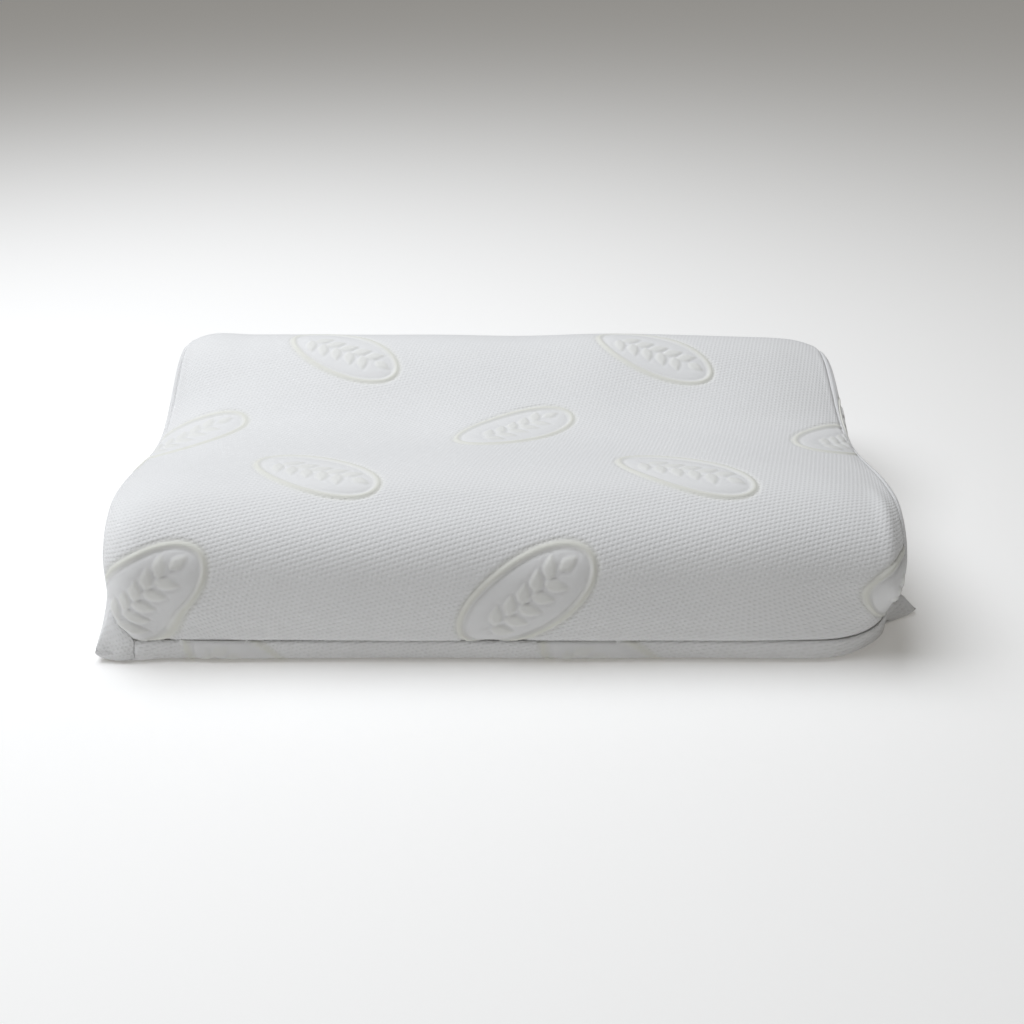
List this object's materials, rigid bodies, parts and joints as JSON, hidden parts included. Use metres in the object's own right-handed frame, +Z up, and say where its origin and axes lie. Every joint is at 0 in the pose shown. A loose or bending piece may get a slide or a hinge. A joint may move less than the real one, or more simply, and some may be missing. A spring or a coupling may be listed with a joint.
{
  "type": "bed pillow",
  "caption": "Contour foam bed pillow with a high and a low roll, in a fitted knitted cover with a zip along the rear.",
  "frame": {"origin": "centre of the underside, on the surface that the pillow lies on", "axes": "+X along the pillow's long side, +Y to the high roll and the zip, +Z up"},
  "size_m": [0.6, 0.4034, 0.126],
  "materials": {
    "waffle_knit": "matte",
    "jersey": "matte",
    "foam": "matte",
    "thread": "matte",
    "zip_tape": "matte",
    "zip_nylon": "satin",
    "zip_metal": "gloss",
    "label_satin": "satin"
  },
  "bodies": {
    "pillow": {"foam_core": "foam", "inner_sleeve": "jersey", "inner_left_end": "jersey", "inner_right_end": "jersey", "inner_left_thread": "thread", "inner_right_thread": "thread", "top_panel": "waffle_knit", "bottom_panel": "waffle_knit", "left_end_panel": "waffle_knit", "right_end_panel": "waffle_knit", "front_seam_thread": "thread", "left_end_seam_thread": "thread", "right_end_seam_thread": "thread", "zip_tape_upper": "zip_tape", "zip_tape_lower": "zip_tape", "zip_coil_upper": "zip_nylon", "zip_coil_lower": "zip_nylon", "zip_stitch_upper": "thread", "zip_stitch_lower": "thread", "zip_top_stop_upper": "zip_metal", "zip_top_stop_lower": "zip_metal", "zip_bottom_stop": "zip_metal", "care_label": "label_satin"},
    "slider": {"zip_slider": "zip_metal"},
    "puller": {"zip_puller": "zip_metal"}
  },
  "joints": [
    {"name": "zip_slide", "type": "slide", "parent": "pillow", "child": "slider", "axis": [-1, 0, 0], "range_m": [0, 0.5124]},
    {"name": "puller_hinge", "type": "hinge", "parent": "slider", "child": "puller", "pos_m": [0.2562, 0.19985, 0.034], "axis": [0, 0, -1], "range_deg": [0, 180]}
  ]
}
